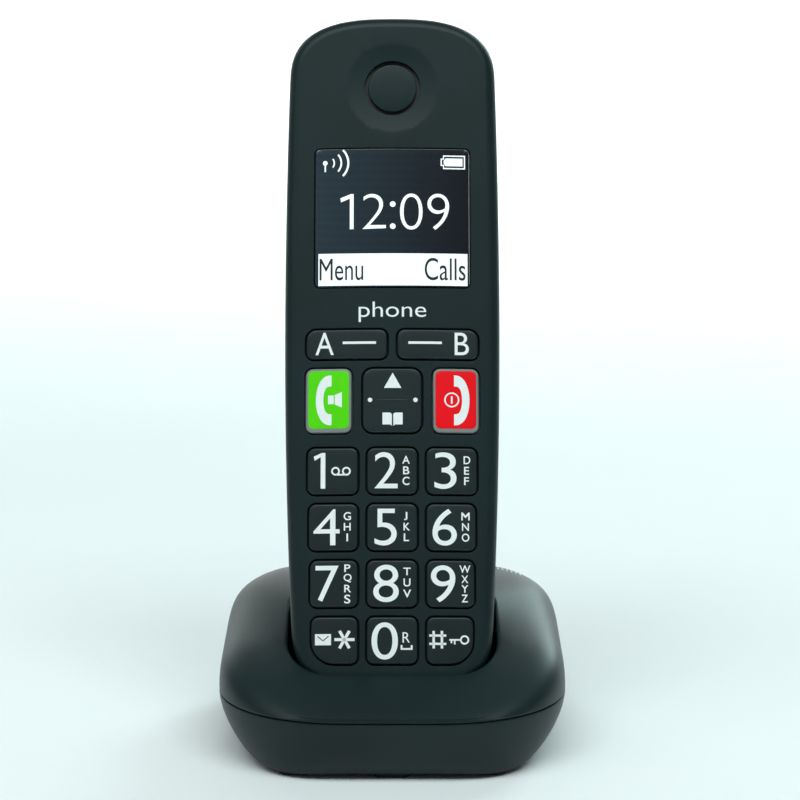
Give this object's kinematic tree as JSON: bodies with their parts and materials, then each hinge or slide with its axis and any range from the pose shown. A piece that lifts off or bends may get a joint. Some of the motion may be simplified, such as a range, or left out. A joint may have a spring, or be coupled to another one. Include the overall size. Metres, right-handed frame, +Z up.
{
  "type": "cordless phone with base",
  "caption": "Cordless telephone handset with large keys and a display, leaning back in a low charging base; lifts out, keys press, battery door opens.",
  "frame": {"origin": "on the standing surface, at the centre of the object's footprint in X and Y", "axes": "+Z up, the face and keypad look towards -Y, +X to the viewer's right"},
  "size_m": [0.0856, 0.0966, 0.1764],
  "materials": {
    "shell_plastic": "fine-grained satin anthracite moulding",
    "key_plastic": "satin, slightly smoother than the shells, with white printed legends",
    "green_key": "satin green with a grey edge",
    "red_key": "satin red with a grey edge",
    "display_window": "polished clear window over a dark display",
    "display_module": "lit display in a pale frame",
    "silicone": "soft moulded silicone",
    "board": "solder-masked laminate",
    "steel": "plain stamped or turned steel",
    "gold_contact": "gold-plated contact",
    "cell_sleeve": "printed sleeve",
    "foot_rubber": "soft black rubber",
    "black_plastic": "plain black moulding"
  },
  "bodies": {
    "base": {"base_top_shell": "shell_plastic", "base_bottom_shell": "shell_plastic", "base_circuit_board": "board", "line_socket": "black_plastic", "power_socket": "black_plastic", "foot_front_left": "foot_rubber", "foot_front_right": "foot_rubber", "foot_front_centre": "foot_rubber", "foot_rear_left": "foot_rubber", "foot_rear_right": "foot_rubber", "base_screw_front_left": "steel", "base_screw_front_right": "steel", "base_screw_rear_left": "steel", "base_screw_rear_right": "steel"},
    "handset": {"handset_front_shell": "shell_plastic", "handset_rear_shell": "shell_plastic", "screen_lens": "display_window", "lcd_module": "display_module", "earpiece_cap": "shell_plastic", "receiver_capsule": "steel", "keypad_mat": "silicone", "handset_circuit_board": "board", "microphone": "steel", "loudspeaker": "black_plastic", "battery_left": "cell_sleeve", "battery_right": "cell_sleeve", "battery_contact_left": "steel", "battery_contact_right": "steel", "battery_contact_bridge": "steel", "handset_screw_left": "steel", "handset_screw_right": "steel", "charging_plate_left": "gold_contact", "charging_plate_right": "gold_contact"},
    "battery_door": {"battery_door": "shell_plastic"},
    "nav_key": {"nav_key": "key_plastic"},
    "page_key": {"page_key": "key_plastic"},
    "charging_pin_left": {"charging_pin_left": "gold_contact"},
    "charging_pin_right": {"charging_pin_right": "gold_contact"},
    "key_1": {"key_1": "key_plastic"},
    "key_2": {"key_2": "key_plastic"},
    "key_3": {"key_3": "key_plastic"},
    "key_4": {"key_4": "key_plastic"},
    "key_5": {"key_5": "key_plastic"},
    "key_6": {"key_6": "key_plastic"},
    "key_7": {"key_7": "key_plastic"},
    "key_8": {"key_8": "key_plastic"},
    "key_9": {"key_9": "key_plastic"},
    "key_star": {"key_star": "key_plastic"},
    "key_0": {"key_0": "key_plastic"},
    "key_hash": {"key_hash": "key_plastic"},
    "talk_key": {"talk_key": "green_key"},
    "end_key": {"end_key": "red_key"},
    "soft_key_a": {"soft_key_a": "key_plastic"},
    "soft_key_b": {"soft_key_b": "key_plastic"}
  },
  "joints": [
    {"name": "handset_lift", "type": "slide", "parent": "base", "child": "handset", "axis": [0, 0.342, 0.9397], "range_m": [0, 0.15]},
    {"name": "key_1_press", "type": "slide", "parent": "handset", "child": "key_1", "axis": [0, 0.9397, -0.342], "range_m": [0, 0.0008], "stiffness_N_per_m": 800},
    {"name": "key_2_press", "type": "slide", "parent": "handset", "child": "key_2", "axis": [0, 0.9397, -0.342], "range_m": [0, 0.0008], "stiffness_N_per_m": 800},
    {"name": "key_3_press", "type": "slide", "parent": "handset", "child": "key_3", "axis": [0, 0.9397, -0.342], "range_m": [0, 0.0008], "stiffness_N_per_m": 800},
    {"name": "key_4_press", "type": "slide", "parent": "handset", "child": "key_4", "axis": [0, 0.9397, -0.342], "range_m": [0, 0.0008], "stiffness_N_per_m": 800},
    {"name": "key_5_press", "type": "slide", "parent": "handset", "child": "key_5", "axis": [0, 0.9397, -0.342], "range_m": [0, 0.0008], "stiffness_N_per_m": 800},
    {"name": "key_6_press", "type": "slide", "parent": "handset", "child": "key_6", "axis": [0, 0.9397, -0.342], "range_m": [0, 0.0008], "stiffness_N_per_m": 800},
    {"name": "key_7_press", "type": "slide", "parent": "handset", "child": "key_7", "axis": [0, 0.9397, -0.342], "range_m": [0, 0.0008], "stiffness_N_per_m": 800},
    {"name": "key_8_press", "type": "slide", "parent": "handset", "child": "key_8", "axis": [0, 0.9397, -0.342], "range_m": [0, 0.0008], "stiffness_N_per_m": 800},
    {"name": "key_9_press", "type": "slide", "parent": "handset", "child": "key_9", "axis": [0, 0.9397, -0.342], "range_m": [0, 0.0008], "stiffness_N_per_m": 800},
    {"name": "key_star_press", "type": "slide", "parent": "handset", "child": "key_star", "axis": [0, 0.9397, -0.342], "range_m": [0, 0.0008], "stiffness_N_per_m": 800},
    {"name": "key_0_press", "type": "slide", "parent": "handset", "child": "key_0", "axis": [0, 0.9397, -0.342], "range_m": [0, 0.0008], "stiffness_N_per_m": 800},
    {"name": "key_hash_press", "type": "slide", "parent": "handset", "child": "key_hash", "axis": [0, 0.9397, -0.342], "range_m": [0, 0.0008], "stiffness_N_per_m": 800},
    {"name": "talk_key_press", "type": "slide", "parent": "handset", "child": "talk_key", "axis": [0, 0.9397, -0.342], "range_m": [0, 0.0008], "stiffness_N_per_m": 800},
    {"name": "end_key_press", "type": "slide", "parent": "handset", "child": "end_key", "axis": [0, 0.9397, -0.342], "range_m": [0, 0.0008], "stiffness_N_per_m": 800},
    {"name": "soft_key_a_press", "type": "slide", "parent": "handset", "child": "soft_key_a", "axis": [0, 0.9397, -0.342], "range_m": [0, 0.0008], "stiffness_N_per_m": 800},
    {"name": "soft_key_b_press", "type": "slide", "parent": "handset", "child": "soft_key_b", "axis": [0, 0.9397, -0.342], "range_m": [0, 0.0008], "stiffness_N_per_m": 800},
    {"name": "nav_key_rock", "type": "hinge", "parent": "handset", "child": "nav_key", "pos_m": [0, -0.00603, 0.08472], "axis": [1, 0, 0], "range_deg": [-3, 3], "stiffness_Nm_per_rad": 0.2},
    {"name": "battery_door_open", "type": "hinge", "parent": "handset", "child": "battery_door", "pos_m": [0, 0.00855, 0.05287], "axis": [-1, 0, 0], "range_deg": [0, 80]},
    {"name": "page_key_press", "type": "slide", "parent": "base", "child": "page_key", "axis": [0, 0, -1], "range_m": [0, 0.0008], "stiffness_N_per_m": 800},
    {"name": "charging_pin_left_press", "type": "slide", "parent": "base", "child": "charging_pin_left", "axis": [0, -0.342, -0.9397], "range_m": [0, 0.0008], "stiffness_N_per_m": 400},
    {"name": "charging_pin_right_press", "type": "slide", "parent": "base", "child": "charging_pin_right", "axis": [0, -0.342, -0.9397], "range_m": [0, 0.0008], "stiffness_N_per_m": 400}
  ]
}
